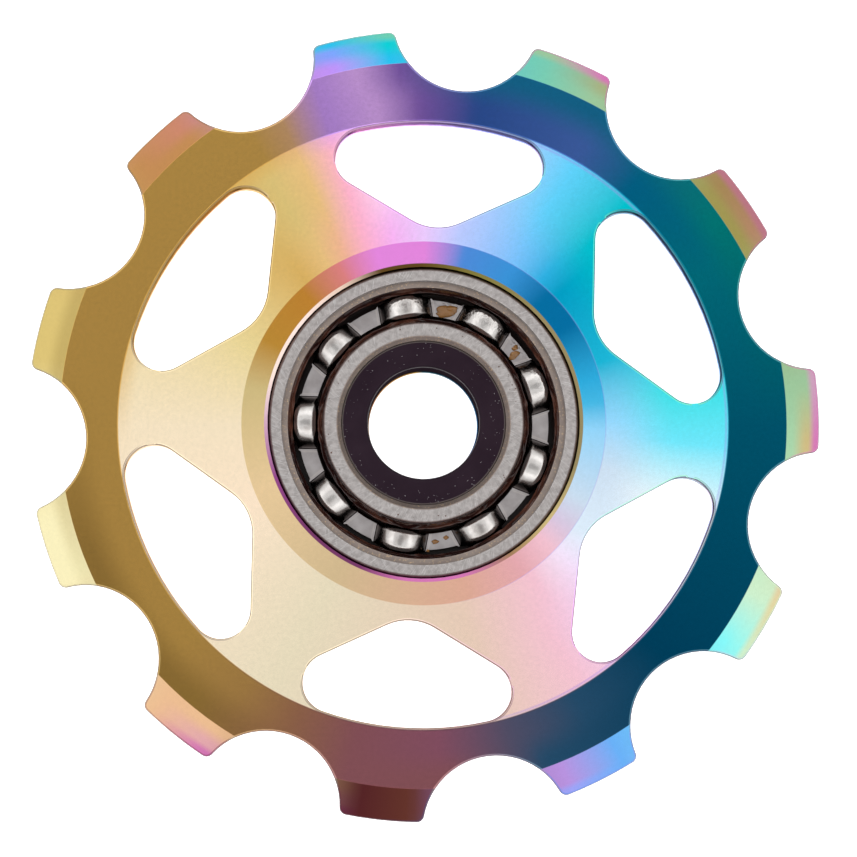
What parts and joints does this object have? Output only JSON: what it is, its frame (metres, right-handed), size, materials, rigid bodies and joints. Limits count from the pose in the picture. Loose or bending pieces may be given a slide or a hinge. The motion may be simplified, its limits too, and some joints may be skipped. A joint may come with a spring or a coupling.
{
  "type": "derailleur jockey wheel",
  "caption": "Toothed derailleur pulley with a dished, windowed web and a sealed ball bearing whose front seal is off, showing its ribbon cage.",
  "frame": {"origin": "on the axle line at the rear face of the rear cap", "axes": "+Z along the axle towards the open front of the bearing, +X to the right and +Y up as the picture shows the wheel"},
  "size_m": [0.0433, 0.0435, 0.0065],
  "materials": {
    "rainbow_aluminium": "oil-slick rainbow coating, satin gloss",
    "bearing_steel": "ground bearing steel",
    "ball_steel": "polished bearing steel",
    "cage_steel": "pressed steel with a film of oil",
    "seal_rubber": "black rubber with oil on it",
    "bush_black": "glossy black"
  },
  "bodies": {
    "axle_fixed": {"bearing_inner_ring": "bearing_steel", "centre_bush": "bush_black", "rear_dust_cap": "rainbow_aluminium"},
    "wheel": {"pulley_body": "rainbow_aluminium", "bearing_outer_ring": "bearing_steel", "rear_seal": "seal_rubber"},
    "cage": {"cage_front": "cage_steel", "cage_rear": "cage_steel"},
    "ball_1_body": {"ball_1": "ball_steel"},
    "ball_2_body": {"ball_2": "ball_steel"},
    "ball_3_body": {"ball_3": "ball_steel"},
    "ball_4_body": {"ball_4": "ball_steel"},
    "ball_5_body": {"ball_5": "ball_steel"},
    "ball_6_body": {"ball_6": "ball_steel"},
    "ball_7_body": {"ball_7": "ball_steel"},
    "ball_8_body": {"ball_8": "ball_steel"},
    "ball_9_body": {"ball_9": "ball_steel"}
  },
  "joints": [
    {"name": "wheel_spin", "type": "hinge", "parent": "axle_fixed", "child": "wheel", "pos_m": [0, 0, 0.0037], "axis": [0, 0, 1], "continuous": true},
    {"name": "cage_spin", "type": "hinge", "parent": "axle_fixed", "child": "cage", "pos_m": [0, 0, 0.0037], "axis": [0, 0, 1], "continuous": true},
    {"name": "ball_1_spin", "type": "hinge", "parent": "cage", "child": "ball_1_body", "pos_m": [-0.00101, 0.00642, 0.0037], "axis": [0, 0, 1], "continuous": true},
    {"name": "ball_2_spin", "type": "hinge", "parent": "cage", "child": "ball_2_body", "pos_m": [-0.0049, 0.00427, 0.0037], "axis": [0, 0, 1], "continuous": true},
    {"name": "ball_3_spin", "type": "hinge", "parent": "cage", "child": "ball_3_body", "pos_m": [-0.0065, 0.00012, 0.0037], "axis": [0, 0, 1], "continuous": true},
    {"name": "ball_4_spin", "type": "hinge", "parent": "cage", "child": "ball_4_body", "pos_m": [-0.00506, -0.00408, 0.0037], "axis": [0, 0, 1], "continuous": true},
    {"name": "ball_5_spin", "type": "hinge", "parent": "cage", "child": "ball_5_body", "pos_m": [-0.00125, -0.00638, 0.0037], "axis": [0, 0, 1], "continuous": true},
    {"name": "ball_6_spin", "type": "hinge", "parent": "cage", "child": "ball_6_body", "pos_m": [0.00314, -0.00569, 0.0037], "axis": [0, 0, 1], "continuous": true},
    {"name": "ball_7_spin", "type": "hinge", "parent": "cage", "child": "ball_7_body", "pos_m": [0.00606, -0.00234, 0.0037], "axis": [0, 0, 1], "continuous": true},
    {"name": "ball_8_spin", "type": "hinge", "parent": "cage", "child": "ball_8_body", "pos_m": [0.00615, 0.00211, 0.0037], "axis": [0, 0, 1], "continuous": true},
    {"name": "ball_9_spin", "type": "hinge", "parent": "cage", "child": "ball_9_body", "pos_m": [0.00336, 0.00557, 0.0037], "axis": [0, 0, 1], "continuous": true}
  ],
  "couplings": [
    {"joint": "cage_spin", "follows": "wheel_spin", "ratio": 0.59158},
    {"joint": "ball_1_spin", "follows": "wheel_spin", "ratio": 2.6383},
    {"joint": "ball_2_spin", "follows": "wheel_spin", "ratio": 2.6383},
    {"joint": "ball_3_spin", "follows": "wheel_spin", "ratio": 2.6383},
    {"joint": "ball_4_spin", "follows": "wheel_spin", "ratio": 2.6383},
    {"joint": "ball_5_spin", "follows": "wheel_spin", "ratio": 2.6383},
    {"joint": "ball_6_spin", "follows": "wheel_spin", "ratio": 2.6383},
    {"joint": "ball_7_spin", "follows": "wheel_spin", "ratio": 2.6383},
    {"joint": "ball_8_spin", "follows": "wheel_spin", "ratio": 2.6383},
    {"joint": "ball_9_spin", "follows": "wheel_spin", "ratio": 2.6383}
  ]
}
